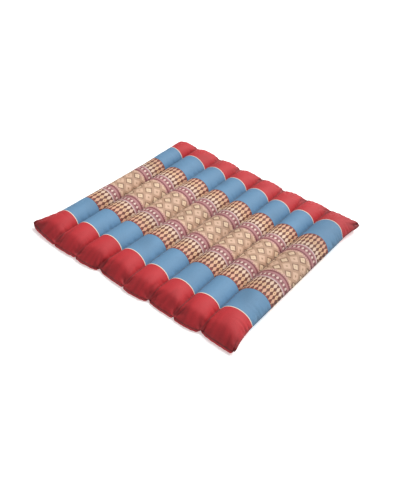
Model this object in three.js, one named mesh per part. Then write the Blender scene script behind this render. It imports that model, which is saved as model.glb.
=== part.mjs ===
// A roll-up floor cushion: one woven cotton cover, sewn through into eight long
// tubes that are stuffed with soft fibre. It lies flat on the floor, unrolled.
//
// Millimetres, +Z up. X runs across the tubes, Y along them, and the floor is Z = 0.
// The origin is the middle of the cushion's footprint, on the floor.
// The near ends of the tubes are at -Y and the far ends at +Y. The top cloth and the
// bottom cloth meet in a seam all round, and 2 mm apart along each sewn line.

import * as THREE from "three";

// Sizes of the whole cushion.
const SEAM_HEIGHT = 22; // the sewn lines lie this high, halfway up the stuffed tubes
const SEAM_HALF_THICKNESS = 1; // two layers of cloth at a sewn line
const END_LENGTH = 90; // length of each end, over which the tubes run down
const END_DROP = 40; // length over which a sewn line runs down to the end seam
const UNDERSIDE_DEPTH = 27; // how deep a tube would hang below its sewn lines

// Lengths over which a tube runs out to its end seam: on the top cloth at the far end,
// and on the bottom cloth. TUBES holds the length on the top cloth at the near end.
const ROUND_FAR = 84;
const ROUND_UNDER = 32;
const TOP_SHARPNESS = 0.62; // above 0.5, a tube's top runs down to its end like a wedge
const UNDER_SHARPNESS = 0.5;

// Below 1, these make a section fuller than an arc: on the top, on the outer side of an
// edge tube, on the underside, and at the ends, where full tubes press on each other.
const TOP_FULLNESS = 0.9;
const SIDE_FULLNESS = 0.75;
const UNDERSIDE_FULLNESS = 0.5;
const TOP_END_FULLNESS = 0.45;
const UNDERSIDE_END_FULLNESS = 0.35;
const BULGE_FULLNESS = 0.45; // below 1, an end's bulge is blunter than an arc
const CORNER_REACH = 110; // length over which a side seam runs out to its corner

// Steps of the faceted surface.
const INNER_TUBE_STEPS = 8;
const EDGE_TUBE_STEPS = 10;
const END_ROWS = 11;
const MIDDLE_ROWS = 17;

// The sewn lines from left to right. The first and last are the side seams.
// x at the near end, halfway and at the far end, y of both ends, and the height of
// the end seam there.
const SEWN_LINES = [
  { xNear: -355, xMid: -343, xFar: -350, yNear: -366, yFar: 362, zNear: 10, zFar: 18 },
  { xNear: -268, xMid: -270, xFar: -277, yNear: -377, yFar: 366, zNear: 10, zFar: 20 },
  { xNear: -184, xMid: -179, xFar: -177, yNear: -375, yFar: 367, zNear: 11, zFar: 20 },
  { xNear: -100, xMid: -89, xFar: -90, yNear: -366, yFar: 367, zNear: 9, zFar: 20 },
  { xNear: -3, xMid: -2, xFar: -2, yNear: -376, yFar: 371, zNear: 11, zFar: 21 },
  { xNear: 82, xMid: 86, xFar: 88, yNear: -368, yFar: 368, zNear: 9, zFar: 21 },
  { xNear: 173, xMid: 171, xFar: 175, yNear: -374, yFar: 374, zNear: 10, zFar: 22 },
  { xNear: 258, xMid: 255, xFar: 260, yNear: -366, yFar: 378, zNear: 11, zFar: 24 },
  { xNear: 359, xMid: 363, xFar: 366, yNear: -376, yFar: 377, zNear: 9, zFar: 25 },
];

// How far each corner runs out past its straight side seam.
const CORNERS = { leftNear: 9, leftFar: 3, rightNear: 10, rightFar: 8 };

// The tubes from left to right: the crown's height above the sewn lines at the near
// end, halfway and at the far end, how far each end bulges past its sewn lines, and the
// length over which the top runs down at the near end.
const TUBES = [
  { crownNear: 28, crownMid: 27, crownFar: 26, bulgeNear: 4, bulgeFar: 3, roundNear: 96 },
  { crownNear: 28, crownMid: 27, crownFar: 29, bulgeNear: 4, bulgeFar: 4, roundNear: 80 },
  { crownNear: 29, crownMid: 27, crownFar: 28, bulgeNear: 7, bulgeFar: 4, roundNear: 74 },
  { crownNear: 27, crownMid: 27, crownFar: 27, bulgeNear: 6, bulgeFar: 4, roundNear: 74 },
  { crownNear: 25, crownMid: 27, crownFar: 27, bulgeNear: 8, bulgeFar: 6, roundNear: 74 },
  { crownNear: 26, crownMid: 26, crownFar: 27, bulgeNear: 8, bulgeFar: 5, roundNear: 74 },
  { crownNear: 25, crownMid: 27, crownFar: 29, bulgeNear: 7, bulgeFar: 5, roundNear: 78 },
  { crownNear: 32, crownMid: 31, crownFar: 32, bulgeNear: 4, bulgeFar: 2, roundNear: 96 },
];

const smooth = (t) => t * t * (3 - 2 * t);

// The value at a place from 0 to 1 on the parabola through three values.
function throughThree(near, mid, far, along) {
  const t = 2 * along - 1;
  return mid + ((far - near) / 2) * t + ((far + near) / 2 - mid) * t * t;
}

// How far a side seam has run out towards its corners, at distances from both ends.
function cornerRun(near, far, distanceNear, distanceFar) {
  const share = (distance) => Math.max(0, 1 - distance / CORNER_REACH) ** 2;
  return near * share(distanceNear) + far * share(distanceFar);
}

// Where sewn line k lies across the cushion, at distances from both ends.
function sewnLineX(k, distanceNear, distanceFar) {
  const line = SEWN_LINES[k];
  const along = distanceNear / (distanceNear + distanceFar);
  const x = throughThree(line.xNear, line.xMid, line.xFar, along);
  const c = CORNERS;
  if (k === 0) return x - cornerRun(c.leftNear, c.leftFar, distanceNear, distanceFar);
  if (k < TUBES.length) return x;
  return x + cornerRun(c.rightNear, c.rightFar, distanceNear, distanceFar);
}

// The end seams' y and z at a share of the way across a tube.
function endSeams(tube, share) {
  const a = SEWN_LINES[tube];
  const b = SEWN_LINES[tube + 1];
  const bulge = Math.max(0, Math.sin(Math.PI * share)) ** BULGE_FULLNESS;
  const mix = (name) => THREE.MathUtils.lerp(a[name], b[name], share);
  return {
    yNear: mix("yNear") - TUBES[tube].bulgeNear * bulge,
    yFar: mix("yFar") + TUBES[tube].bulgeFar * bulge,
    zNear: mix("zNear"),
    zFar: mix("zFar"),
  };
}

// A tube's section at a share of the way across its cloth: an arc from seam to seam, made
// fuller, and most so where the tube runs out at its ends.
function sectionAt(side, tube, share, width, crown, full) {
  const radius = (width * width) / (8 * crown) + crown / 2;
  const reach = Math.asin(width / 2 / radius);
  const angle = reach * (2 * share - 1);
  const up = Math.max(0, (radius * Math.cos(angle) - radius + crown) / crown);
  const isOuterSide =
    (tube === 0 && share < 0.5) || (tube === TUBES.length - 1 && share > 0.5);
  let power = isOuterSide ? SIDE_FULLNESS : TOP_FULLNESS;
  if (side < 0) power = UNDERSIDE_FULLNESS;
  const endPower = side > 0 ? TOP_END_FULLNESS : UNDERSIDE_END_FULLNESS;
  power = THREE.MathUtils.lerp(endPower, power, full ** 2);
  return { across: 0.5 + (radius * Math.sin(angle)) / width, up: up ** power };
}

// How full a tube is at a distance from its end seam: none at the seam, and all once
// the distance is the round's length.
function fullness(distance, round, sharpness) {
  const t = 1 - Math.min(distance / round, 1);
  return Math.max(0, 1 - t * t) ** sharpness;
}

// One point of the cushion. The side is 1 on the top cloth and -1 on the bottom cloth.
function cushionPoint(side, tube, share, row) {
  const ends = endSeams(tube, share);
  const length = ends.yFar - ends.yNear;
  const distanceNear = row.fromNear + row.along * (length - 2 * END_LENGTH);
  const distanceFar = length - distanceNear;
  const along = distanceNear / length;

  const left = sewnLineX(tube, distanceNear, distanceFar);
  const width = sewnLineX(tube + 1, distanceNear, distanceFar) - left;
  const t = TUBES[tube];
  const crown = throughThree(t.crownNear, t.crownMid, t.crownFar, along);
  const depth = side > 0 ? crown : UNDERSIDE_DEPTH;
  const sharpness = side > 0 ? TOP_SHARPNESS : UNDER_SHARPNESS;
  const full = Math.min(
    fullness(distanceNear, side > 0 ? t.roundNear : ROUND_UNDER, sharpness),
    fullness(distanceFar, side > 0 ? ROUND_FAR : ROUND_UNDER, sharpness),
  );
  const section = sectionAt(side, tube, share, width, depth, full);

  const drop = (distance, endHeight) =>
    (endHeight - SEAM_HEIGHT) * (1 - smooth(Math.min(distance / END_DROP, 1)));
  const middle = SEAM_HEIGHT + drop(distanceNear, ends.zNear) + drop(distanceFar, ends.zFar);
  const height = (SEAM_HALF_THICKNESS + depth * section.up) * full;
  return new THREE.Vector3(
    left + section.across * width,
    ends.yNear + distanceNear,
    Math.max(0, middle + side * height),
  );
}

// The rows along the cushion: close together where the ends run down, wide between.
function rowsAlong() {
  const rows = [];
  for (let i = 0; i <= END_ROWS; i++) {
    const angle = (Math.PI / 2) * (i / END_ROWS);
    rows.push({ fromNear: END_LENGTH * (1 - Math.cos(angle)), along: 0 });
  }
  for (let i = 1; i < MIDDLE_ROWS; i++) rows.push({ fromNear: END_LENGTH, along: i / MIDDLE_ROWS });
  for (let i = 0; i <= END_ROWS; i++) {
    const angle = (Math.PI / 2) * (i / END_ROWS);
    rows.push({ fromNear: END_LENGTH * (1 + Math.sin(angle)), along: 1 });
  }
  return rows;
}

// The steps across the cushion, as a tube and a share of its width. A sewn line belongs
// to the tube on its left, and the left side seam to the first tube.
function stepsAcross() {
  const steps = [{ tube: 0, share: 0 }];
  TUBES.forEach((_, tube) => {
    const isEdge = tube === 0 || tube === TUBES.length - 1;
    const count = isEdge ? EDGE_TUBE_STEPS : INNER_TUBE_STEPS;
    for (let i = 1; i <= count; i++) steps.push({ tube, share: i / count });
  });
  return steps;
}

// The whole cover as one closed surface: a top and a bottom grid that share their rim.
function cushionGeometry() {
  const steps = stepsAcross();
  const rows = rowsAlong();
  const positions = [];
  const add = (side, step, row) =>
    positions.push(...cushionPoint(side, step.tube, step.share, row).toArray()) / 3 - 1;
  const top = steps.map((step) => rows.map((row) => add(1, step, row)));
  const onRim = (i, j) =>
    i === 0 || j === 0 || i === steps.length - 1 || j === rows.length - 1;
  const bottom = steps.map((step, i) =>
    rows.map((row, j) => (onRim(i, j) ? top[i][j] : add(-1, step, row))),
  );

  const index = [];
  for (let i = 0; i < steps.length - 1; i++) {
    for (let j = 0; j < rows.length - 1; j++) {
      const t = [top[i][j], top[i + 1][j], top[i + 1][j + 1], top[i][j + 1]];
      const b = [bottom[i][j], bottom[i + 1][j], bottom[i + 1][j + 1], bottom[i][j + 1]];
      index.push(t[0], t[1], t[2], t[0], t[2], t[3]);
      index.push(b[0], b[2], b[1], b[0], b[3], b[2]);
    }
  }
  const geometry = new THREE.BufferGeometry();
  geometry.setAttribute("position", new THREE.Float32BufferAttribute(positions, 3));
  geometry.setIndex(index);
  geometry.computeBoundingBox();
  const middle = geometry.boundingBox.getCenter(new THREE.Vector3());
  geometry.translate(-middle.x, -middle.y, 0);
  geometry.computeVertexNormals();
  return geometry;
}

const cloth = new THREE.MeshStandardMaterial({
  color: 0xb9908a,
  roughness: 0.9,
  metalness: 0,
});

const cushion = new THREE.Mesh(cushionGeometry(), cloth);
cushion.name = "cushion";

const root = new THREE.Group();
root.add(cushion);

export default root;
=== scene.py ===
"""A roll-up floor cushion of banded woven cotton, sewn through into eight stuffed tubes."""

import math

import bmesh
import bpy
import numpy as np
from mathutils import Matrix, Vector


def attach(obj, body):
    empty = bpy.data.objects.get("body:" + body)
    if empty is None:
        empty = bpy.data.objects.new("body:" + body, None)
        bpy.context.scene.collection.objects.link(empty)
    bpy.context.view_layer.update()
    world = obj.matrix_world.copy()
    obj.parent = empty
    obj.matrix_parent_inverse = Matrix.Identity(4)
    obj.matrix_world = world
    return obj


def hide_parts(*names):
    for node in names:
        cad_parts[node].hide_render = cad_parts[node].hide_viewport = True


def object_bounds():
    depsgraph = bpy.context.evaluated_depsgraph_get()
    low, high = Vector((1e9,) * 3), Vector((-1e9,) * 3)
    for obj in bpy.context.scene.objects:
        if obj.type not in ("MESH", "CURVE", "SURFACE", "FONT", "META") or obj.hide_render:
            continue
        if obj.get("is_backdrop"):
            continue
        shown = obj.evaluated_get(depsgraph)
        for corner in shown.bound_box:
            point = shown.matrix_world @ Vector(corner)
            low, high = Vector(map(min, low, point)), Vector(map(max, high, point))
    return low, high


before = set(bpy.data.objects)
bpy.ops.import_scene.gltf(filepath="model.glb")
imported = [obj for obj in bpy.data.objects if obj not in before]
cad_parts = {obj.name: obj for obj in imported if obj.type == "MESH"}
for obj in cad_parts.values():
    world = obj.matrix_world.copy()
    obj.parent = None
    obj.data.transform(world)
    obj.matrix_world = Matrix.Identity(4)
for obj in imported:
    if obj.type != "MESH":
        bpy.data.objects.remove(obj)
cad_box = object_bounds()

MM = 0.001

# Sizes of the cushion in millimetres, as in the frame.
SEAM_HEIGHT = 22
SEAM_HALF_THICKNESS = 1
END_LENGTH = 90
END_DROP = 40
UNDERSIDE_DEPTH = 27
ROUND_FAR = 84
ROUND_UNDER = 32
CORNER_REACH = 110

# How far the bottom cloth is pressed out past an end seam, at most, how far from the seam
# that is, the share of it at a sewn line, and how fast it grows to the whole beside it.
UNDER_BULGE = 6
UNDER_BULGE_PLACE = 8
UNDER_BULGE_ON_LINE = 0.6
UNDER_BULGE_RISE = 4

# How far the bottom cloth hangs down at a sewn line, at most, and how far from the line's
# end that is.
LINE_END_SAG = 3
LINE_END_SAG_PLACE = 9

# Powers that round the tubes' sections, their ends and the outline of the ends: the
# lower, the fuller.
TOP_FULLNESS = 0.9
SIDE_FULLNESS = 0.75
END_FULLNESS = 0.45
UNDERSIDE_FULLNESS = 0.6
UNDER_END_FULLNESS = 0.35
END_SHARPNESS = 0.62
UNDER_END_SHARPNESS = 0.5
BULGE_FULLNESS = 0.45

# The sewn lines from left to right, the side seams among them: x at the near end,
# halfway and at the far end, y of both ends, and the end seam's height there.
LINE_COLUMNS = ("x_near", "x_mid", "x_far", "y_near", "y_far", "z_near", "z_far")
SEWN_LINES = [
    dict(zip(LINE_COLUMNS, row))
    for row in (
        (-355, -343, -350, -360, 362, 18, 18),
        (-268, -270, -277, -377, 366, 10, 20),
        (-184, -179, -177, -375, 367, 11, 20),
        (-100, -89, -90, -366, 367, 9, 20),
        (-3, -2, -2, -376, 371, 11, 21),
        (82, 86, 88, -368, 368, 9, 21),
        (173, 171, 175, -374, 374, 10, 22),
        (258, 255, 260, -366, 378, 11, 24),
        (359, 363, 366, -373, 377, 14, 25),
    )
]
CORNERS = {"left_near": 22, "left_far": 3, "right_near": 14, "right_far": 13}

# How far each corner's tip is pressed in, in the same order, and over what distance,
# how much thicker it is than the sides and ends alone would make it, and how far from
# the seams the thicker part begins.
BLUNTING = (4, 3, 4, 5)
BLUNTING_REACH = 6
CORNER_STUFFING = (5, 4, 5, 10)
STUFFING_REACH = 26
STUFFING_MARGIN = 7

# The tubes from left to right: the crown's height above the sewn lines at the near end,
# halfway and at the far end, how far each end bulges past its sewn lines, and the length
# over which its near end runs down.
TUBE_COLUMNS = ("crown_near", "crown_mid", "crown_far", "bulge_near", "bulge_far", "round_near")
TUBES = [
    dict(zip(TUBE_COLUMNS, row))
    for row in (
        (28, 27, 26, 3, 3, 96),
        (28, 27, 29, 2, 4, 80),
        (29, 27, 28, 8, 4, 74),
        (27, 27, 27, 3, 4, 74),
        (25, 27, 27, 9, 6, 74),
        (26, 26, 27, 4, 5, 74),
        (25, 27, 29, 8, 5, 78),
        (32, 31, 32, 3, 2, 96),
    )
]

# The middle of the cushion, x and y, in the terms of these tables: the origin lies there.
MIDDLE = (5, 0.5)

# The grid of the cloth, and how sharp its seams stay when it is made finer.
SEWN_LINE_CREASE = 1.0
END_SEAM_CREASE = 0.4
INNER_TUBE_STEPS = 14
LEFT_TUBE_STEPS = 14
RIGHT_TUBE_STEPS = 18
END_ROWS = 18
MIDDLE_ROWS = 62
LINE_CROWDING = 0.4


def put_in_scene(name, data):
    """An object with that data, in the scene."""
    made = bpy.data.objects.new(name, data)
    bpy.context.scene.collection.objects.link(made)
    return made


def new_material(name, values):
    """A material with these values on its shader's sockets, and the shader."""
    material = bpy.data.materials.new(name)
    material.use_nodes = True
    shader = material.node_tree.nodes["Principled BSDF"]
    for socket, value in values.items():
        shader.inputs[socket].default_value = value
    return material, shader


def smooth(t):
    """A step from 0 to 1 with level ends."""
    t = np.clip(t, 0, 1)
    return t * t * (3 - 2 * t)


def bell(distance, width):
    """A bump of height 1 that falls off on both sides over a width."""
    return np.exp(-((distance / width) ** 2))


def fade(place, start, length):
    """A step from 0 to 1 that begins at a place and takes a length."""
    return smooth((place - start) / length)


def through_three(near, mid, far, along):
    """The value at a place from 0 to 1 on the parabola through three values."""
    t = 2 * along - 1
    return mid + (far - near) / 2 * t + ((far + near) / 2 - mid) * t * t


def columns_across():
    """The grid's columns, as each one's tube and share of the way across it."""
    tubes = [0]
    shares = [0.0]
    counts = [LEFT_TUBE_STEPS] + [INNER_TUBE_STEPS] * (len(TUBES) - 2) + [RIGHT_TUBE_STEPS]
    for tube, count in enumerate(counts):
        for step in range(1, count + 1):
            even = step / count
            tubes.append(tube)
            shares.append(even - LINE_CROWDING * math.sin(2 * math.pi * even) / (2 * math.pi))
    return np.array(tubes), np.array(shares)


def end_rows():
    """Distances from the end seam, evenly spaced along the crown's run down to it, and
    the length of cloth that they lie at."""
    angle = np.linspace(0, math.pi / 2, 400)
    run = TUBES[3]["round_near"] * (1 - np.cos(angle))
    rise = TUBES[0]["crown_mid"] * np.sin(angle)
    run = np.append(run, END_LENGTH)
    rise = np.append(rise, rise[-1])
    path = np.concatenate([[0], np.cumsum(np.hypot(np.diff(run), np.diff(rise)))])
    even = np.linspace(0, path[-1], END_ROWS + 1)
    return np.interp(even, path, run), even


TUBE_OF, SHARE_OF = columns_across()
END_DISTANCE, END_CLOTH = end_rows()


def sewn_line_x(k, distance_near, distance_far):
    """Where a sewn line lies across the cushion, at distances from both ends."""
    line = SEWN_LINES[k]
    along = distance_near / (distance_near + distance_far)
    x = through_three(line["x_near"], line["x_mid"], line["x_far"], along)
    near = np.maximum(0, 1 - distance_near / CORNER_REACH) ** 2
    far = np.maximum(0, 1 - distance_far / CORNER_REACH) ** 2
    if k == 0:
        return x - CORNERS["left_near"] * near - CORNERS["left_far"] * far
    if k == len(TUBES):
        return x + CORNERS["right_near"] * near + CORNERS["right_far"] * far
    return x


def arc_length(width, crown):
    """The length of an arc of that width and height."""
    radius = width * width / (8 * crown) + crown / 2
    return 2 * radius * math.asin(width / 2 / radius)


def bulge_below(distance):
    """How far the bottom cloth is pressed out past an end seam, at a distance from it."""
    t = distance / UNDER_BULGE_PLACE
    return UNDER_BULGE * t * np.exp(1 - t)


def line_end_sag(distance):
    """How far the bottom cloth hangs down at a sewn line, at a distance from its end."""
    t = distance / LINE_END_SAG_PLACE
    return LINE_END_SAG * t * np.exp(1 - t)


def column_points(side, tube, share):
    """One column of the cushion's surface: side is 1 on the top cloth, -1 underneath."""
    first, second = SEWN_LINES[tube], SEWN_LINES[tube + 1]
    shape = TUBES[tube]
    bulge = max(0, math.sin(math.pi * share)) ** BULGE_FULLNESS
    mix = {name: first[name] * (1 - share) + second[name] * share for name in LINE_COLUMNS}
    y_near = mix["y_near"] - shape["bulge_near"] * bulge
    y_far = mix["y_far"] + shape["bulge_far"] * bulge
    length = y_far - y_near
    middle = np.linspace(END_LENGTH, length - END_LENGTH, MIDDLE_ROWS + 1)[1:-1]
    distance_near = np.concatenate([END_DISTANCE, middle, length - END_DISTANCE[::-1]])
    distance_far = length - distance_near
    along = distance_near / length

    left = sewn_line_x(tube, distance_near, distance_far)
    width = sewn_line_x(tube + 1, distance_near, distance_far) - left
    crown = through_three(shape["crown_near"], shape["crown_mid"], shape["crown_far"], along)
    depth = crown if side > 0 else np.full_like(crown, UNDERSIDE_DEPTH)

    radius = width * width / (8 * depth) + depth / 2
    angle = np.arcsin(width / 2 / radius) * (2 * share - 1)
    up = np.clip((radius * np.cos(angle) - radius + depth) / depth, 0, 1)

    def full(distance, reach):
        t = 1 - np.minimum(distance / reach, 1)
        return np.maximum(0, 1 - t * t) ** (END_SHARPNESS if side > 0 else UNDER_END_SHARPNESS)

    near_full = full(distance_near, shape["round_near"] if side > 0 else ROUND_UNDER)
    far_full = full(distance_far, ROUND_FAR if side > 0 else ROUND_UNDER)
    fullness = np.minimum(near_full, far_full)
    is_outer_side = (tube == 0 and share < 0.5) or (tube == len(TUBES) - 1 and share > 0.5)
    power = SIDE_FULLNESS if is_outer_side else TOP_FULLNESS
    power = END_FULLNESS + (power - END_FULLNESS) * fullness**2
    if side < 0:
        power = UNDER_END_FULLNESS + (UNDERSIDE_FULLNESS - UNDER_END_FULLNESS) * fullness**2
    height = (SEAM_HALF_THICKNESS + depth * up**power) * fullness
    drop_near = (mix["z_near"] - SEAM_HEIGHT) * (1 - smooth(distance_near / END_DROP))
    drop_far = (mix["z_far"] - SEAM_HEIGHT) * (1 - smooth(distance_far / END_DROP))
    under_near, under_far = 0, 0
    if side < 0:
        height = height + line_end_sag(distance_near) * (1 - bulge)
        height = height + line_end_sag(distance_far) * (1 - bulge)
        off_line = min(1, UNDER_BULGE_ON_LINE + UNDER_BULGE_RISE * bulge)
        under_near = bulge_below(distance_near) * off_line
        under_far = bulge_below(distance_far) * off_line
    return np.stack(
        [
            left + width * 0.5 + radius * np.sin(angle),
            y_near + distance_near - under_near + under_far,
            SEAM_HEIGHT + drop_near + drop_far + side * height,
        ],
        axis=-1,
    )


def blunt_corners(points, side):
    """Presses the tips of the four corners in and stuffs them, so that they aren't sharp."""
    tips = (points[0, 0], points[0, -1], points[-1, 0], points[-1, -1])
    middle = points[:, :, :2].mean(axis=(0, 1))
    moves = np.zeros_like(points)
    for tip, depth, stuffing in zip(tips, BLUNTING, CORNER_STUFFING):
        inward = np.sign(middle - tip[:2]) / math.sqrt(2)
        offset = np.abs(points[:, :, :2] - tip[:2])
        away = np.linalg.norm(offset, axis=-1)
        moves[:, :, :2] += (depth * bell(away, BLUNTING_REACH))[:, :, None] * inward
        off_rim = smooth(offset.min(axis=-1) / STUFFING_MARGIN)
        moves[:, :, 2] += side * stuffing * bell(away, STUFFING_REACH) * off_rim
    return points + moves


def tube_cloth(tube):
    """The width of the cloth between a tube's two sewn lines."""
    width = SEWN_LINES[tube + 1]["x_mid"] - SEWN_LINES[tube]["x_mid"]
    return arc_length(width, TUBES[tube]["crown_mid"])


# Where the woven pattern lies on the tubes from left to right: the first large diamond's
# distance from each tube's left sewn line, which differs as a sewn line takes up a tuck.
PATTERN_STARTS = (62, 66, 52, 49, 38, 30, 58, 50)

# How far the bands lie towards the far end, at the near and at the far band of red: at
# each sewn line, and along the middle of each tube. The figured part lies a little nearer:
# by how much, how far from the middle it ends, and over what length that sets in there.
SLIP_OF_LINES = (
    (0, -4),
    (-3, -10),
    (-2, -8),
    (-2, -8),
    (-6, -9),
    (-7, -10),
    (-4, -10),
    (-2, -2),
    (3, -2),
)
SLIP_OF_TUBES = ((-2, -9), (-2, -3), (0, -3), (-2, -5), (-5, -5), (-4, -7), (-3, -2), (2, 15))
BAND_OF_RED = 271
FIGURES_NEARER = 4.5
FIGURES_END = 172
FIGURES_FADE = 75


def band_slip(tube, share, y):
    """How far the woven bands are out of place along a tube, at a place across it."""
    along = np.clip(y / (2 * BAND_OF_RED) + 0.5, -0.1, 1.1)
    slips = []
    for near, far in (SLIP_OF_LINES[tube], SLIP_OF_TUBES[tube], SLIP_OF_LINES[tube + 1]):
        slips.append(near * (1 - along) + far * along)
    past_near = fade(y, -FIGURES_END, FIGURES_FADE)
    past_far = fade(y, FIGURES_END, BAND_OF_RED - FIGURES_END)
    figured = past_near * (1 - past_far)
    return through_three(*slips, share) - FIGURES_NEARER * figured


class Grid:
    """A top and a bottom grid of points that share their rim, as one closed mesh."""

    def __init__(self, columns, rows):
        self.top = np.arange(columns * rows).reshape(columns, rows)
        self.bottom = self.top.copy()
        inner = np.arange((columns - 2) * (rows - 2)) + columns * rows
        self.bottom[1:-1, 1:-1] = inner.reshape(columns - 2, rows - 2)
        self.count = columns * rows + inner.size

    def faces(self):
        """The four corners of each face, turned outwards."""

        def quads(index):
            return np.stack(
                [index[:-1, :-1], index[1:, :-1], index[1:, 1:], index[:-1, 1:]], axis=-1
            ).reshape(-1, 4)

        return np.concatenate([quads(self.top), quads(self.bottom)[:, ::-1]])

    def join(self, top, bottom):
        """One array of values for all points, from a value for each grid place."""
        out = np.zeros((self.count,) + top.shape[2:])
        out[self.bottom.ravel()] = bottom.reshape((-1,) + bottom.shape[2:])
        out[self.top.ravel()] = top.reshape((-1,) + top.shape[2:])
        return out


def surface(side):
    """The grid of points of the top cloth, side 1, or the bottom cloth, side -1."""
    pairs = zip(TUBE_OF, SHARE_OF)
    return np.stack([column_points(side, tube, share) for tube, share in pairs])


# The most cloth gathered at an end, the cloth drawn up along a sewn line, as shares of
# the cloth's width, and the share of a tube's width in which it is drawn up.
MOST_SPARE = 0.26
LINE_GATHER = 0.06
GATHER_REACH = 0.12


def spare_cloth(points):
    """How much longer the cloth is than its place: its full width is gathered into each
    end seam, and the sewing thread draws it up a little along each sewn line."""
    spans = np.linalg.norm(np.diff(points, axis=0), axis=-1)
    spare = np.zeros(points.shape[:2])
    for tube in range(len(TUBES)):
        inside = np.flatnonzero(TUBE_OF[1:] == tube)
        arc = spans[inside].sum(axis=0)
        ratio = arc[len(arc) // 2] / arc - 1
        spare[TUBE_OF == tube] = np.clip(ratio, 0, MOST_SPARE)
    from_line = np.minimum(SHARE_OF, 1 - SHARE_OF)
    drawn = LINE_GATHER * bell(from_line, GATHER_REACH)
    return np.clip(spare + drawn[:, None], 0, MOST_SPARE)


def build_cover():
    """The cover as sewn, with its grid, its points, its spare cloth and the points that
    the sewn lines hold."""
    top, bottom = blunt_corners(surface(1), 1), blunt_corners(surface(-1), -1)
    grid = Grid(*top.shape[:2])
    points = grid.join(top, bottom) * MM
    spare = grid.join(spare_cloth(top), spare_cloth(bottom))
    points[:, :2] -= np.array(MIDDLE) * MM

    mesh = bpy.data.meshes.new("cushion_cover")
    mesh.from_pydata(points.tolist(), [], grid.faces().tolist())
    mesh.update()
    cover = put_in_scene("cushion_cover", mesh)
    lay_cloth(cover, top, bottom)
    mark_places(cover, grid, top, bottom)

    on_line = np.isclose(SHARE_OF, 1) | np.isclose(SHARE_OF, 0)
    pinned = sorted(set(grid.top[on_line].ravel()) | set(grid.bottom[on_line].ravel()))
    crease_seams(cover, grid, pinned)
    return cover, grid, points, spare, pinned


def lay_cloth(cover, top, bottom):
    """Stores where each face corner lies on the woven cloth, in millimetres across and
    along it, as a UV map. The last rows lie further along than they look from above."""
    spare = (END_CLOTH - END_CLOTH[-1]) - (END_DISTANCE - END_LENGTH)
    sides = []
    for points in (top, bottom):
        along = points[:, :, 1].copy()
        along[:, : END_ROWS + 1] += spare
        along[:, -END_ROWS - 1 :] -= spare[::-1]
        columns = []
        for column in range(len(TUBE_OF) - 1):
            tube = TUBE_OF[column + 1]
            starts_here = column == 0 or TUBE_OF[column] != tube
            edges = []
            for place in (column, column + 1):
                share = 0 if place == column and starts_here else SHARE_OF[place]
                u = share * tube_cloth(tube) - PATTERN_STARTS[tube]
                v = along[place] - band_slip(tube, share, along[place])
                edges.append(np.stack([np.full_like(v, u), v], axis=-1))
            left, right = edges
            columns.append(np.stack([left[:-1], right[:-1], right[1:], left[1:]], axis=1))
        sides.append(np.stack(columns))
    corners = np.concatenate([sides[0].reshape(-1, 4, 2), sides[1].reshape(-1, 4, 2)[:, ::-1]])
    layer = cover.data.uv_layers.new(name="cloth")
    layer.data.foreach_set("uv", corners.astype(np.float32).ravel())


# Painted shade: how much darker the left and the right outer tube are painted than the
# others, standing in for the weaker light on them, where that fades away across the
# cloth, and how much of it is missing at the near end.
OUTER_PAINTED_SHADES = (0.04, 0.13)
OUTER_FADE = (50, 90)
MISSING_NEAR = 0.8
NEAR_FADE = (230, 70)

# Painted shade: how much darker the far bands are painted than the others, standing in for the
# weaker light at the far end, and where that begins.
FAR_PAINTED_SHADE = 0.08
FAR_FADE = (120, 140)


def store(mesh, name, values, domain="POINT"):
    """Stores a value for each point, or each edge, of the mesh under a name."""
    layer = mesh.attributes.new(name, "FLOAT", domain)
    layer.data.foreach_set("value", values.astype(np.float32))


def mark_places(cover, grid, top, bottom):
    """Stores each point's place in millimetres, across the whole cloth, y and the side,
    its distance from the nearest seam, and how much painted shade darkens it."""
    starts = np.cumsum([0] + [tube_cloth(tube) for tube in range(len(TUBES))])
    across = starts[TUBE_OF] + SHARE_OF * np.diff(starts)[TUBE_OF]

    def place(points, side):
        u = np.broadcast_to(across[:, None], points.shape[:2])
        return np.stack([u, points[:, :, 1], np.full(points.shape[:2], side)], axis=-1)

    values = grid.join(place(top, 1.0), place(bottom, -1.0))
    rim = np.unique(np.concatenate([grid.top[[0, -1]].ravel(), grid.top[:, [0, -1]].ravel()]))
    values[rim, 2] = 0
    layer = cover.data.attributes.new("place", "FLOAT_VECTOR", "POINT")
    layer.data.foreach_set("vector", values.astype(np.float32).ravel())

    widths = np.diff(starts)[TUBE_OF]
    from_line = np.minimum(SHARE_OF, 1 - SHARE_OF) * widths
    from_end = np.concatenate([END_CLOTH, np.full(MIDDLE_ROWS - 1, END_LENGTH), END_CLOTH[::-1]])
    from_seam = np.minimum(from_line[:, None], from_end[None, :])
    store(cover.data, "from_seam", grid.join(from_seam, from_seam))

    y = top[:, :, 1]
    # Painted shade: the outer tubes are painted darker for the weaker light on them, less so
    # near the near end.
    left = OUTER_PAINTED_SHADES[0] * (1 - fade(across, *OUTER_FADE))
    right = OUTER_PAINTED_SHADES[1] * (1 - fade(starts[-1] - across, *OUTER_FADE))
    deeper = (left + right)[:, None] * (1 - MISSING_NEAR * fade(-y, *NEAR_FADE))
    # Painted shade: the far bands are painted darker for the weaker light at the far end.
    deeper = deeper + FAR_PAINTED_SHADE * fade(y, *FAR_FADE)
    store(cover.data, "deeper", grid.join(deeper, deeper))


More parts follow.
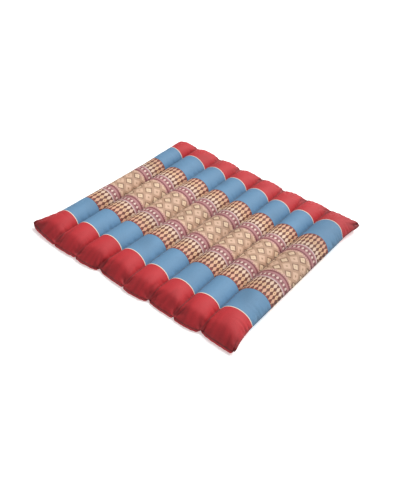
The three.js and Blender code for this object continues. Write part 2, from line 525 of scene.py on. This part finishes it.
def crease_seams(cover, grid, pinned):
    """Keeps the sewn lines sharp when the mesh is made finer, and the end seams firm."""
    edges = np.empty(len(cover.data.edges) * 2, dtype=np.int32)
    cover.data.edges.foreach_get("vertices", edges)
    edges = edges.reshape(-1, 2)
    on_line = np.zeros(grid.count, dtype=bool)
    on_line[pinned] = True
    on_end = np.zeros(grid.count, dtype=bool)
    on_end[grid.top[:, [0, -1]].ravel()] = True
    crease = np.where(on_end[edges].all(axis=1), END_SEAM_CREASE, 0.0)
    crease = np.where(on_line[edges].all(axis=1), SEWN_LINE_CREASE, crease)
    store(cover.data, "crease_edge", crease, "EDGE")


def positions(mesh):
    """The mesh's points as rows of x, y and z in metres."""
    out = np.empty(len(mesh.vertices) * 3)
    mesh.vertices.foreach_get("co", out)
    return out.reshape(-1, 3)


# The stuffing's push on the cover, for how many frames it settles, how far a point may
# move in metres, and the small unevenness that folds start from.
PRESSURE = 40.0
SIMULATION_FRAMES = 24
FARTHEST_MOVE = 0.012
UNEVENNESS = 0.0006
SEED = 11


def inflate(cover, points, spare, pinned):
    """Lets the cover with its spare cloth settle on its stuffing, held at the sewn lines."""
    pins = cover.vertex_groups.new(name="sewn_lines")
    pins.add([int(i) for i in pinned], 1.0, "REPLACE")
    gathers = cover.vertex_groups.new(name="gathers")
    for number, share in enumerate(spare / MOST_SPARE):
        gathers.add([number], float(share), "REPLACE")

    uneven = np.random.default_rng(SEED).normal(0, UNEVENNESS, points.shape)
    uneven *= (spare / MOST_SPARE)[:, None]
    uneven[pinned] = 0
    cover.data.vertices.foreach_set("co", (points + uneven).astype(np.float32).ravel())
    cover.data.update()

    modifier = cover.modifiers.new("stuffing", "CLOTH")
    settings = modifier.settings
    settings.quality = 6
    settings.mass = 0.01
    settings.tension_stiffness = 30
    settings.compression_stiffness = 20
    settings.shear_stiffness = 8
    settings.bending_stiffness = 0.05
    settings.tension_damping = 5
    settings.compression_damping = 5
    settings.shear_damping = 5
    settings.air_damping = 2
    settings.vertex_group_mass = pins.name
    settings.vertex_group_shrink = gathers.name
    settings.shrink_min = 0
    settings.shrink_max = -MOST_SPARE
    settings.use_pressure = True
    settings.uniform_pressure_force = PRESSURE
    settings.effector_weights.gravity = 0
    modifier.collision_settings.use_collision = False
    modifier.collision_settings.use_self_collision = False

    scene = bpy.context.scene
    for number in range(1, SIMULATION_FRAMES + 1):
        scene.frame_set(number)
    depsgraph = bpy.context.evaluated_depsgraph_get()
    settled = positions(cover.evaluated_get(depsgraph).data)
    cover.modifiers.remove(modifier)
    cover.vertex_groups.clear()
    scene.frame_set(1)

    move = settled - points
    distance = np.linalg.norm(move, axis=1)
    scale = np.minimum(1, FARTHEST_MOVE / np.maximum(distance, 1e-9))
    return points + move * scale[:, None]


# The height in metres over which the underside bends as it meets the floor.
CONTACT_SOFTNESS = 0.0012


def rest_on_floor(points):
    """Presses the points that lie below the floor up to it, with a soft bend, in metres."""
    z = points[:, 2]
    points[:, 2] = (z + np.sqrt(z * z + CONTACT_SOFTNESS**2)) / 2
    return points


# The woven pattern, in millimetres of cloth. It is the same towards both ends, so each
# band is given by its distance from the middle of the cloth.
THREAD_ACROSS = 1.39
THREAD_ALONG = 1.3
COLUMN_PITCH = 13.9
DIAMOND_PITCH = 41.7
DIAMOND_ROWS = 42.5
TEETH_PITCH = 6.95
TEETH_DEPTH = 2.6
DOT_ROW = 84.5
DOT_HALF_WIDTH = 3.9
DOT_HALF_LENGTH = 5.2
DOT_POWER = 1.5
DOT_HEART = 0.08
DOT_COLORS = ("E6CABC", "B0737A")
LOZENGE_ROW = 115.0
LOZENGE_ROWS = 21.5
LOZENGE_HALF_WIDTH = 5.5
MIDDLE_LOZENGE_WIDER = 0.6
LOZENGE_WAIST = 1.4
LOZENGE_COLORS = ("E6C6AC", "E5BA94", "E0AB8D")
EYE_SIZE = 2.4
EYE_COLOR = "8A4A3A"
LAST_ROW = 171.0
RED_DIAMOND = 4.2
RED_DIAMOND_COLOR = "9B2F33"

# The diamonds of the middle field, from the outside in: each ring's size and colour.
LARGE_DIAMOND = ((15.8, "896650"), (11.2, "E4C6A6"), (3.2, "D6B292"))
SMALL_DIAMOND = ((15.5, "DBB69B"), (4.0, "A9866B"))

# How uneven the colour is: the least of it that stays, what thick threads and what wide
# patches add, and how fine both are. Then how high threads and thick threads stand.
PLAIN_SHADE = 0.76
SLUB_SHADE = 0.32
PATCH_SHADE = 0.16
SLUB_SCALE = 0.45
SLUB_STRETCH = 0.25
PATCH_SCALE = 0.02
WEAVE_HEIGHT = 0.5
SLUB_HEIGHT = 2.0

# Painted shade: cloth down in a fold or a seam is painted darker, where shade falls: by
# how much for each millimetre of a fold's depth, by how much in a seam, and over what
# length.
FOLD_SHADE = 0.13
SEAM_SHADE = 0.68
SEAM_SHADE_REACH = 2.8

# Each band's outer edge, and its colour.
BANDS = (
    (55.0, "BB967C"),
    (63.0, "CE9F92"),
    (69.0, "86484B"),
    (79.0, "B37B7C"),
    (90.0, "874D4F"),
    (96.5, "AC7476"),
    (102.0, "CDB2AF"),
    (172.0, "6E3A2C"),
    (269.0, "648FB2"),
    (273.0, "F0E0CC"),
    (440.0, "C1262E"),
)


def linear(hex_color):
    """A display colour such as C8A482 as the linear colour of a shader."""
    channels = [int(hex_color[i : i + 2], 16) / 255 for i in (0, 2, 4)]
    values = [c / 12.92 if c <= 0.04045 else ((c + 0.055) / 1.055) ** 2.4 for c in channels]
    return (*values, 1)


class Nodes:
    """Short calls that add nodes to a material."""

    def __init__(self, material):
        self.tree = material.node_tree

    def add(self, kind, **values):
        node = self.tree.nodes.new(kind)
        for name, value in values.items():
            setattr(node, name, value)
        return node

    def feed(self, socket, value):
        if isinstance(value, bpy.types.NodeSocket):
            self.tree.links.new(value, socket)
        else:
            socket.default_value = value

    def math(self, operation, *values):
        node = self.add("ShaderNodeMath", operation=operation)
        for socket, value in zip(node.inputs, values):
            self.feed(socket, value)
        return node.outputs[0]

    def mix(self, share, first, second, blend="MIX"):
        node = self.add("ShaderNodeMix", data_type="RGBA", blend_type=blend)
        self.feed(node.inputs["Factor"], share)
        self.feed(node.inputs[6], first)
        self.feed(node.inputs[7], second)
        return node.outputs[2]

    def noise(self, vector, scale, detail=2.0, roughness=0.5):
        node = self.add("ShaderNodeTexNoise")
        self.feed(node.inputs["Vector"], vector)
        node.inputs["Scale"].default_value = scale
        node.inputs["Detail"].default_value = detail
        node.inputs["Roughness"].default_value = roughness
        return node.outputs["Fac"]

    def bump(self, height, strength, distance):
        """The normal of a surface with heights, as shares of a distance in metres."""
        node = self.add("ShaderNodeBump")
        node.inputs["Strength"].default_value = strength
        node.inputs["Distance"].default_value = distance
        self.feed(node.inputs["Height"], height)
        return node.outputs["Normal"]

    def vector(self, x, y, z=0.0):
        node = self.add("ShaderNodeCombineXYZ")
        for socket, value in zip(node.inputs, (x, y, z)):
            self.feed(socket, value)
        return node.outputs[0]

    def stored(self, name):
        """A value that the mesh stores for each point."""
        return self.add("ShaderNodeAttribute", attribute_name=name).outputs["Fac"]

    def nearest(self, value, pitch, start=0.0):
        """The distance to the nearest of the places a pitch apart."""
        moved = self.math("ADD", value, pitch / 2 - start)
        inside = self.math("FLOORED_MODULO", moved, pitch)
        return self.math("ABSOLUTE", self.math("SUBTRACT", inside, pitch / 2))

    def less(self, first, second):
        return self.math("LESS_THAN", first, second)

    def product(self, *values):
        """The product of the values: 1 only where each of them is 1."""
        out = values[0]
        for value in values[1:]:
            out = self.math("MULTIPLY", out, value)
        return out


def band_ramp(nodes, distance):
    """The bands' plain colours, at a distance from the middle of the cloth."""
    widest = BANDS[-1][0]
    ramp = nodes.add("ShaderNodeValToRGB")
    ramp.color_ramp.interpolation = "CONSTANT"
    ramp.color_ramp.elements[1].position = BANDS[0][0] / widest
    edges = [0.0] + [edge for edge, _ in BANDS[:-1]]
    while len(ramp.color_ramp.elements) < len(BANDS):
        ramp.color_ramp.elements.new(edges[len(ramp.color_ramp.elements)] / widest)
    for element, (_, color) in zip(ramp.color_ramp.elements, BANDS):
        element.color = linear(color)
    nodes.feed(ramp.inputs["Fac"], nodes.math("DIVIDE", distance, widest))
    return ramp.outputs["Color"]


def diamond_field(nodes, color, u, v, distance):
    """Large outlined diamonds in rows, with plainer ones between them."""
    a = nodes.nearest(u, DIAMOND_PITCH)
    b = nodes.nearest(v, DIAMOND_ROWS)
    large = nodes.math("ADD", a, b)
    small = nodes.math("SUBTRACT", (DIAMOND_PITCH + DIAMOND_ROWS) / 2, large)
    inside = nodes.less(distance, BANDS[1][0])
    for size, rings in ((small, SMALL_DIAMOND), (large, LARGE_DIAMOND)):
        for reach, tone in rings:
            here = nodes.product(inside, nodes.less(size, reach))
            color = nodes.mix(here, color, linear(tone))
    return color


def tooth_line(nodes, color, u, distance):
    """Small teeth on the inner edge of the dark line beside the diamonds."""
    depth = nodes.math("MULTIPLY", nodes.nearest(u, TEETH_PITCH), 2 * TEETH_DEPTH / TEETH_PITCH)
    edge = BANDS[1][0]
    begins = nodes.math("GREATER_THAN", nodes.math("ADD", distance, depth), edge)
    here = nodes.product(begins, nodes.less(distance, edge))
    return nodes.mix(here, color, linear(BANDS[2][1]))


def dot_row(nodes, color, u, distance):
    """A row of pale pointed dots."""
    from_row = nodes.math("ABSOLUTE", nodes.math("SUBTRACT", distance, DOT_ROW))
    a = nodes.math("DIVIDE", nodes.nearest(u, COLUMN_PITCH), DOT_HALF_WIDTH)
    b = nodes.math("DIVIDE", from_row, DOT_HALF_LENGTH)
    a = nodes.math("POWER", a, DOT_POWER)
    b = nodes.math("POWER", b, DOT_POWER)
    size = nodes.math("ADD", a, b)
    dot, heart = (linear(tone) for tone in DOT_COLORS)
    color = nodes.mix(nodes.less(size, 1.0), color, dot)
    return nodes.mix(nodes.less(size, DOT_HEART), color, heart)


def lozenge_columns(nodes, color, u, distance):
    """Pale columns that swell to a lozenge in each of three rows, on dark brown, and red
    diamonds between them at the edge."""
    inside = nodes.product(nodes.less(BANDS[6][0], distance), nodes.less(distance, LAST_ROW))
    a = nodes.nearest(u, COLUMN_PITCH)
    b = nodes.nearest(distance, LOZENGE_ROWS, LOZENGE_ROW)
    between = LOZENGE_ROW + LOZENGE_ROWS / 2
    second = nodes.math("GREATER_THAN", distance, between)
    third = nodes.math("GREATER_THAN", distance, between + LOZENGE_ROWS)
    first = nodes.math("SUBTRACT", 1.0, second)
    is_middle = nodes.math("SUBTRACT", second, third)
    wider = nodes.math("MULTIPLY", is_middle, MIDDLE_LOZENGE_WIDER)
    widest = nodes.math("ADD", LOZENGE_HALF_WIDTH, wider)
    fall = nodes.math("MULTIPLY", b, 2 / LOZENGE_ROWS)
    narrowing = nodes.product(fall, nodes.math("SUBTRACT", widest, LOZENGE_WAIST))
    half_width = nodes.math("SUBTRACT", widest, narrowing)
    column = nodes.product(inside, nodes.less(a, half_width))
    tones = [linear(tone) for tone in LOZENGE_COLORS]
    tone = nodes.mix(first, tones[1], tones[0])
    tone = nodes.mix(third, tone, tones[2])
    color = nodes.mix(column, color, tone)
    eye = nodes.product(is_middle, nodes.less(nodes.math("ADD", a, b), EYE_SIZE))
    color = nodes.mix(eye, color, linear(EYE_COLOR))
    aside = nodes.nearest(u, COLUMN_PITCH, COLUMN_PITCH / 2)
    from_edge = nodes.math("ABSOLUTE", nodes.math("SUBTRACT", distance, BANDS[7][0] - 1))
    size = nodes.math("ADD", aside, from_edge)
    here = nodes.product(nodes.less(distance, BANDS[7][0]), nodes.less(size, RED_DIAMOND))
    return nodes.mix(here, color, linear(RED_DIAMOND_COLOR))


def woven_cotton():
    """The banded woven cotton of the cover."""
    values = {"Roughness": 0.7, "Sheen Weight": 0.02, "Sheen Roughness": 0.5}
    material, shader = new_material("woven_cotton", values)
    nodes = Nodes(material)
    cloth = nodes.add("ShaderNodeUVMap", uv_map="cloth")
    split = nodes.add("ShaderNodeSeparateXYZ")
    nodes.feed(split.inputs[0], cloth.outputs["UV"])
    u, v = split.outputs[0], split.outputs[1]

    def to_thread(value, pitch):
        number = nodes.math("FLOOR", nodes.math("DIVIDE", value, pitch))
        return nodes.math("MULTIPLY", nodes.math("ADD", number, 0.5), pitch)

    step_u = to_thread(u, THREAD_ACROSS)
    step_v = to_thread(v, THREAD_ALONG)
    distance = nodes.math("ABSOLUTE", step_v)
    color = band_ramp(nodes, distance)
    color = diamond_field(nodes, color, step_u, step_v, distance)
    color = tooth_line(nodes, color, step_u, distance)
    color = dot_row(nodes, color, step_u, distance)
    color = lozenge_columns(nodes, color, step_u, distance)

    stretched = nodes.vector(nodes.math("MULTIPLY", u, SLUB_STRETCH), v)
    slubs = nodes.noise(stretched, SLUB_SCALE, 3.0, 0.7)
    patches = nodes.noise(nodes.vector(u, v), PATCH_SCALE, 2.0)
    shade = nodes.math("ADD", nodes.math("MULTIPLY", slubs, SLUB_SHADE), PLAIN_SHADE)
    shade = nodes.math("ADD", shade, nodes.math("MULTIPLY", patches, PATCH_SHADE))
    # Painted shade in the seams and folds darkens the woven colour.
    near_seam = nodes.math("DIVIDE", nodes.stored("from_seam"), -SEAM_SHADE_REACH)
    near_seam = nodes.math("EXPONENT", near_seam)
    painted_seam_shade = nodes.math("SUBTRACT", 1.0, nodes.math("MULTIPLY", near_seam, SEAM_SHADE))
    painted_fold_shade = nodes.math("MULTIPLY", nodes.stored("fold"), -FOLD_SHADE)
    painted_fold_shade = nodes.math("EXPONENT", painted_fold_shade)
    # The painted shade of the outer tubes and the far bands.
    painted_shade_factor = nodes.math("SUBTRACT", 1.0, nodes.stored("deeper"))
    shade = nodes.product(shade, painted_seam_shade, painted_fold_shade, painted_shade_factor)
    tone = nodes.vector(shade, shade, shade)
    color = nodes.mix(1.0, color, tone, "MULTIPLY")
    nodes.feed(shader.inputs["Base Color"], color)

    rib_u = nodes.math("SINE", nodes.math("MULTIPLY", u, 2 * math.pi / THREAD_ACROSS))
    rib_v = nodes.math("SINE", nodes.math("MULTIPLY", v, 2 * math.pi / THREAD_ALONG))
    weave = nodes.math("MULTIPLY", rib_u, rib_v)
    weave = nodes.math("MULTIPLY", weave, WEAVE_HEIGHT)
    height = nodes.math("ADD", weave, nodes.math("MULTIPLY", slubs, SLUB_HEIGHT))
    nodes.feed(shader.inputs["Normal"], nodes.bump(height, strength=0.35, distance=0.0003))
    return material


def make_finer(cover):
    """Subdivides the mesh once and keeps the result."""
    modifier = cover.modifiers.new("finer", "SUBSURF")
    modifier.levels = 1
    modifier.render_levels = 1
    depsgraph = bpy.context.evaluated_depsgraph_get()
    mesh = bpy.data.meshes.new_from_object(cover.evaluated_get(depsgraph))
    cover.modifiers.clear()
    split_tip_faces(mesh)
    cover.data = mesh


def split_tip_faces(mesh):
    """Splits the faces at the four corners from the tip inwards, so that the top and the
    bottom cloth share no edge there but the rim."""
    finer = bmesh.new()
    finer.from_mesh(mesh)
    for tip in [vertex for vertex in finer.verts if len(vertex.link_faces) == 2]:
        for loop in list(tip.link_loops):
            inner = loop.link_loop_next.link_loop_next.vert
            bmesh.utils.face_split(loop.face, tip, inner)
    finer.to_mesh(mesh)
    finer.free()


# Small folds, in millimetres: how many gathers run in from each end of a tube, how many
# creases fan out from each end of a sewn line and from each corner, how many ripples
# leave a side seam near each of its ends, how far apart wrinkles leave a sewn line, how
# much stronger they are beside a side seam, and how many lumps of stuffing a tube has.
GATHERS = 6
PINCH_CREASES = 6
CORNER_CREASES = 6
END_RIPPLES = 8
WRINKLE_PITCH = 17
SIDE_SEAM_WRINKLES = 2.0
LUMPS = 9

# How deep the folds are, from the least to the most.
GATHER_DEPTHS = (0.8, 2.4)
PINCH_DEPTHS = (1.4, 4.0)
CORNER_DEPTHS = (1.2, 3.4)
RIPPLE_DEPTHS = (0.7, 1.9)
WRINKLE_DEPTHS = (0.3, 1.5)
LUMP_HEIGHTS = (-1.4, 1.4)

# How wide they are and how far they lean, from the least to the most, and where a fold
# lies in its share of the seam.
GATHER_WIDTHS = (4.0, 7.5)
RIPPLE_WIDTHS = (2.8, 4.0)
WRINKLE_WIDTHS = (2.8, 5.0)
GATHER_LEANS = (-0.3, 0.3)
RIPPLE_LEANS = (0.0, 0.25)
WRINKLE_LEANS = (-0.35, 0.35)
FOLD_PLACES = (0.2, 0.8)

# How far the folds reach, from the least to the most, and how large the lumps are.
GATHER_REACHES = (16, 50)
PINCH_REACHES = (12, 28)
CORNER_REACHES = (22, 46)
RIPPLE_REACHES = (18, 42)
WRINKLE_REACHES = (7, 18)
LUMP_SIZES = (22, 46)

# A crease's width and how fast it widens, how far out gathers and creases are deepest,
# over what length a crease sets in, and a lump's width as a share of its length.
CREASE_WIDTH = 2.6
CREASE_SPREAD = 0.13
GATHER_PEAK = 8
CREASE_PEAK = 12
CREASE_START = 4
LUMP_WIDTH = 0.7

# Each end's y on the cloth with its way inwards, where the ripples begin and their
# pitch, and the lengths that have lumps and wrinkles.
CLOTH_ENDS = ((-372, 1), (370, -1))
RIPPLES_FROM = 215
RIPPLE_PITCH = 13
LUMPS_LENGTH = 660
WRINKLED_LENGTH = 730

# How deep folds of the bottom cloth are beside those of the top, how far from a line the
# folds are at their full depth, the depth beyond which their painted shade gets no darker,
# and how far the edge of a side or end seam stands out.
UNDERSIDE_FOLDS = 0.5
FULL_FOLDS = 5
DARKEST_DEPTH = 6
SEAM_LIP = 0.5


def creases(u, y, tip, angles, depths, reaches, rng):
    """Creases that fan out over the cloth from one point of it, at angles in degrees."""
    depth = np.zeros_like(u)
    for angle in np.radians(angles):
        outward = (u - tip[0]) * math.cos(angle) + (y - tip[1]) * math.sin(angle)
        aside = (u - tip[0]) * math.sin(angle) - (y - tip[1]) * math.cos(angle)
        narrow = bell(aside, CREASE_WIDTH + CREASE_SPREAD * np.abs(outward))
        long = bell(outward - CREASE_PEAK, rng.uniform(*reaches))
        depth += rng.uniform(*depths) * narrow * long * smooth(outward / CREASE_START)
    return depth


def gathers(u, y, left, width, rng):
    """Gathers that run in along a tube from both its ends."""
    depth = np.zeros_like(u)
    for y_end, _ in CLOTH_ENDS:
        inward = np.abs(y - y_end)
        for number in range(GATHERS):
            place = left + width * (number + rng.uniform(*FOLD_PLACES)) / GATHERS
            deepest = rng.uniform(*GATHER_DEPTHS)
            reach = rng.uniform(*GATHER_REACHES)
            lean = rng.uniform(*GATHER_LEANS)
            aside = bell(u - place - lean * inward, rng.uniform(*GATHER_WIDTHS))
            depth += deepest * aside * bell(inward - GATHER_PEAK, reach)
    return depth


def lumps(u, y, left, width, rng):
    """Places where the stuffing of a tube lies out or in a little."""
    height = np.zeros_like(u)
    for number in range(LUMPS):
        place = left + width * rng.uniform(*FOLD_PLACES)
        y_place = LUMPS_LENGTH * ((number + rng.uniform(0, 1)) / LUMPS - 0.5)
        size = rng.uniform(*LUMP_SIZES)
        round_lump = bell(u - place, size * LUMP_WIDTH) * bell(y - y_place, size)
        height += rng.uniform(*LUMP_HEIGHTS) * round_lump
    return height


def line_end_creases(u, y, lines, rng):
    """Creases that fan out from both ends of each sewn line and from the corners."""
    depth = np.zeros_like(u)
    for k, line in enumerate(lines):
        if k in (0, len(lines) - 1):
            count, turn, depths, reaches = CORNER_CREASES, 90, CORNER_DEPTHS, CORNER_REACHES
        else:
            count, turn, depths, reaches = PINCH_CREASES, 180, PINCH_DEPTHS, PINCH_REACHES
        for y_end, inward in CLOTH_ENDS:
            angles = (np.arange(count) + rng.uniform(*FOLD_PLACES, count)) * turn / count
            if k == len(lines) - 1:
                angles = 180 - angles
            depth += creases(u, y, (line, y_end), inward * angles, depths, reaches, rng)
    return depth


def side_ripples(u, y, lines, rng):
    """Ripples that leave the side seams near both their ends."""
    depth = np.zeros_like(u)
    for line in (lines[0], lines[-1]):
        for end in (-1, 1):
            for number in range(END_RIPPLES):
                along = RIPPLES_FROM + RIPPLE_PITCH * (number + rng.uniform(*FOLD_PLACES))
                lean = end * rng.uniform(*RIPPLE_LEANS)
                aside = y - end * along - lean * np.abs(u - line)
                ripple = bell(aside, rng.uniform(*RIPPLE_WIDTHS))
                reach = rng.uniform(*RIPPLE_REACHES)
                depth += rng.uniform(*RIPPLE_DEPTHS) * ripple * bell(u - line, reach)
    return depth


def line_wrinkles(u, y, lines, rng):
    """Short wrinkles that leave the sewn lines and the side seams all along them."""
    depth = np.zeros_like(u)
    count = int(WRINKLED_LENGTH / WRINKLE_PITCH)
    for line in lines:
        strength = SIDE_SEAM_WRINKLES if line in (lines[0], lines[-1]) else 1
        for number in range(count):
            y_place = WRINKLED_LENGTH * ((number + rng.uniform(0, 1)) / count - 0.5)
            reach = rng.uniform(*WRINKLE_REACHES)
            lean = rng.uniform(*WRINKLE_LEANS)
            deepest = strength * rng.uniform(*WRINKLE_DEPTHS)
            aside = y - y_place - lean * (u - line)
            wrinkle = bell(aside, rng.uniform(*WRINKLE_WIDTHS))
            depth += deepest * wrinkle * bell(u - line, reach)
    return depth


def fold_heights(u, y, side, rng):
    """How far each point of the cloth lies out or in because of its small folds."""
    lines = np.cumsum([0] + [tube_cloth(tube) for tube in range(len(TUBES))])
    height = np.zeros_like(u)
    for cloth_side, strength in ((1, 1.0), (-1, UNDERSIDE_FOLDS)):
        here = (side * cloth_side > -0.5) * strength
        for left, width in zip(lines, np.diff(lines)):
            height -= here * gathers(u, y, left, width, rng)
            height += here * lumps(u, y, left, width, rng)
        height -= here * line_end_creases(u, y, lines, rng)
        height -= here * side_ripples(u, y, lines, rng)
        height -= here * line_wrinkles(u, y, lines, rng)
    from_line = np.abs(u[:, None] - lines).min(axis=1)
    return height * np.minimum(1, from_line / FULL_FOLDS)


def fold(cover):
    """Moves the cover's points by its small folds, along their normals."""
    mesh = cover.data
    count = len(mesh.vertices)
    place = np.empty(count * 3)
    mesh.attributes["place"].data.foreach_get("vector", place)
    normal = np.empty(count * 3)
    mesh.vertices.foreach_get("normal", normal)
    u, y, side = place.reshape(-1, 3).T
    height = fold_heights(u, y, side, np.random.default_rng(SEED))
    normal = normal.reshape(-1, 3)
    points = positions(mesh) + normal * height[:, None] * MM
    # Each point's fold depth, which sets the painted shade in folds.
    store(mesh, "fold", np.clip(-height, 0, DARKEST_DEPTH))
    on_rim = np.abs(side) < 0.01
    outward = normal[on_rim] * (1, 1, 0)
    outward /= np.linalg.norm(outward, axis=1, keepdims=True)
    points[on_rim] += outward * SEAM_LIP * MM
    points = rest_on_floor(points)
    mesh.vertices.foreach_set("co", points.astype(np.float32).ravel())
    mesh.update()


# The stitches of the sewn lines, in millimetres: how far apart and how long they are, the
# thread's radius and the share of it that is missing at a stitch's ends, how far they
# lie above the cloth, and how many rows of the grid they keep from its ends.
STITCH_PITCH = 5.0
STITCH_LENGTH = 4.3
THREAD_RADIUS = 0.45
STITCH_TAPER = 0.45
STITCH_LIFT = 0.2
ROWS_LEFT_OUT = 2
STITCH_RINGS = 4
STITCH_SIDES = 6
THREAD_COLORS = ("461A1D", "743634")
FIBRE_SCALE = 2600.0


def one_stitch():
    """Rings of points round a stitch that lies along Y, thin at both ends, in metres."""
    rings = []
    for ring in range(STITCH_RINGS):
        along = 2 * ring / (STITCH_RINGS - 1) - 1
        radius = THREAD_RADIUS * (1 - STITCH_TAPER * along * along)
        for corner in range(STITCH_SIDES):
            angle = 2 * math.pi * corner / STITCH_SIDES
            x, z = radius * math.cos(angle), radius * math.sin(angle)
            rings.append((x, along * STITCH_LENGTH / 2, z))
    return np.array(rings) * MM


def stitch_faces(first):
    """The faces of a stitch, as numbers of its points from the first."""
    faces = []
    for ring in range(STITCH_RINGS - 1):
        for corner in range(STITCH_SIDES):
            beside = (corner + 1) % STITCH_SIDES
            a = first + ring * STITCH_SIDES
            b = a + STITCH_SIDES
            faces.append((a + corner, a + beside, b + beside, b + corner))
    last = first + (STITCH_RINGS - 1) * STITCH_SIDES
    faces.append(tuple(first + corner for corner in reversed(range(STITCH_SIDES))))
    faces.append(tuple(last + corner for corner in range(STITCH_SIDES)))
    return faces


def make_stitches(seams):
    """The stitches along each of the seams, which are rows of points in metres."""
    shape = one_stitch()
    points = []
    faces = []
    for seam in seams:
        path = np.concatenate([[0], np.cumsum(np.linalg.norm(np.diff(seam, axis=0), axis=1))])
        count = int(path[-1] / (STITCH_PITCH * MM))
        for number in range(count):
            middle = (number + 0.5) * STITCH_PITCH * MM
            ends = middle + np.array([-0.5, 0.5]) * STITCH_LENGTH * MM
            a, b = np.stack([np.interp(ends, path, seam[:, axis]) for axis in range(3)], axis=1)
            along = (b - a) / np.linalg.norm(b - a)
            across = np.cross(along, (0, 0, 1))
            across /= np.linalg.norm(across)
            up = np.cross(across, along)
            faces += stitch_faces(len(points) * len(shape))
            points.append((a + b) / 2 + shape @ np.stack([across, along, up]))
    mesh = bpy.data.meshes.new("stitches")
    mesh.from_pydata(np.concatenate(points).tolist(), [], faces)
    mesh.update()
    stitches = put_in_scene("stitches", mesh)
    stitches.data.materials.append(sewing_thread())
    stitches.data.shade_smooth()
    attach(stitches, "root")


def sewing_thread():
    """Twisted cotton thread."""
    material, shader = new_material("sewing_thread", {"Roughness": 0.7})
    nodes = Nodes(material)
    place = nodes.add("ShaderNodeTexCoord").outputs["Object"]
    fibre = nodes.noise(place, FIBRE_SCALE, 2.0)
    dark, light = (linear(tone) for tone in THREAD_COLORS)
    nodes.feed(shader.inputs["Base Color"], nodes.mix(fibre, dark, light))
    nodes.feed(shader.inputs["Normal"], nodes.bump(fibre, strength=0.4, distance=0.0001))
    return material


def sewn_line_seams(grid, points):
    """The stitched paths along the sewn lines, on top and underneath."""
    rows = slice(ROWS_LEFT_OUT, -ROWS_LEFT_OUT)
    lift = (0, 0, STITCH_LIFT * MM)
    seams = []
    for column in np.flatnonzero(np.isclose(SHARE_OF, 1))[:-1]:
        seams.append(points[grid.top[column, rows]] + lift)
        seams.append(points[grid.bottom[column, rows]] - lift)
    return seams


def make_cover():
    """The stuffed cover with its folds, and the stitches on it."""
    cover, grid, points, spare, pinned = build_cover()
    points = inflate(cover, points, spare, pinned)
    points = rest_on_floor(points)
    make_stitches(sewn_line_seams(grid, points))
    cover.data.vertices.foreach_set("co", points.astype(np.float32).ravel())
    cover.data.update()
    make_finer(cover)
    fold(cover)
    cover.data.shade_smooth()
    cover.data.materials.append(woven_cotton())
    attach(cover, "root")
    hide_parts("cushion")


# The camera, as fitted to the photo: it looks down at the cushion and is a little rolled.
# Angles are in degrees and its place in metres.
CAMERA_AZIMUTH = 29.61
CAMERA_ELEVATION = 38.48
CAMERA_ROLL = 9.76
CAMERA_PLACE = (0.8777, -1.5467, 1.3587)
FOCAL_PIXELS = 708.1
PHOTO_HEIGHT = 489
SENSOR = 36


def make_camera():
    """A camera at the photo's place, turned and rolled as the photo is."""
    azimuth = math.radians(CAMERA_AZIMUTH)
    elevation = math.radians(CAMERA_ELEVATION)
    roll = math.radians(CAMERA_ROLL)
    level = math.cos(elevation)
    x, y = math.sin(azimuth) * level, -math.cos(azimuth) * level
    back = Vector((x, y, math.sin(elevation)))
    right = Vector((math.cos(azimuth), math.sin(azimuth), 0))
    up = back.cross(right)
    rolled_right = math.cos(roll) * right + math.sin(roll) * up
    rolled_up = math.cos(roll) * up - math.sin(roll) * right
    data = bpy.data.cameras.new("camera")
    data.sensor_width = SENSOR
    data.lens = FOCAL_PIXELS * SENSOR / PHOTO_HEIGHT
    camera = put_in_scene("camera", data)
    rotation = Matrix((rolled_right, rolled_up, back)).transposed()
    camera.matrix_world = Matrix.Translation(CAMERA_PLACE) @ rotation.to_4x4()
    bpy.context.scene.camera = camera


# How much the floor shines itself, and half its side in metres.
FLOOR_GLOW = 0.4
FLOOR_HALF = 6.0


def bright_floor():
    """A pale floor that shines a little itself, so that shadows on it stay faint."""
    values = {
        "Base Color": (0.95, 0.95, 0.95, 1),
        "Roughness": 0.9,
        "Emission Color": (1, 1, 1, 1),
        "Emission Strength": FLOOR_GLOW,
    }
    return new_material("floor", values)[0]


def make_floor():
    """A wide floor under the cushion."""
    mesh = bpy.data.meshes.new("floor")
    half = FLOOR_HALF
    corners = [(-half, -half, 0), (half, -half, 0), (half, half, 0), (-half, half, 0)]
    mesh.from_pydata(corners, [], [(0, 1, 2, 3)])
    floor = put_in_scene("floor", mesh)
    floor.data.materials.append(bright_floor())
    floor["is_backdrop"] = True


def make_light(name, place, size, power):
    """A square light at a place in metres that shines on the cushion."""
    data = bpy.data.lights.new(name, "AREA")
    data.size = size
    data.energy = power
    light = put_in_scene(name, data)
    light.location = place
    light.rotation_euler = (-Vector(place)).to_track_quat("-Z", "Y").to_euler()


def make_lights():
    """A large soft light behind the cushion, a weak one on the left, and a pale sky."""
    make_light("key", (2.3, 9.2, 11.5), size=9.2, power=2720)
    make_light("fill", (-2.2, -0.6, 2.2), size=2.0, power=4)
    world = bpy.data.worlds.new("world")
    world.use_nodes = True
    background = world.node_tree.nodes["Background"]
    background.inputs["Color"].default_value = (1, 1, 1, 1)
    background.inputs["Strength"].default_value = 0.3
    bpy.context.scene.world = world


def set_display():
    """Shows colours as they are, without a film look."""
    bpy.context.scene.view_settings.view_transform = "Standard"


def write_sizes():
    """Puts the extents in metres of the frame and of the finished scene into lines of text,
    which are not kept.
    """
    rows = [list(corner) for box in (cad_box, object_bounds()) for corner in box]
    "\n".join(str([round(float(x), 5) for x in row]) for row in rows)


make_camera()
make_floor()
make_lights()
set_display()
make_cover()
write_sizes()
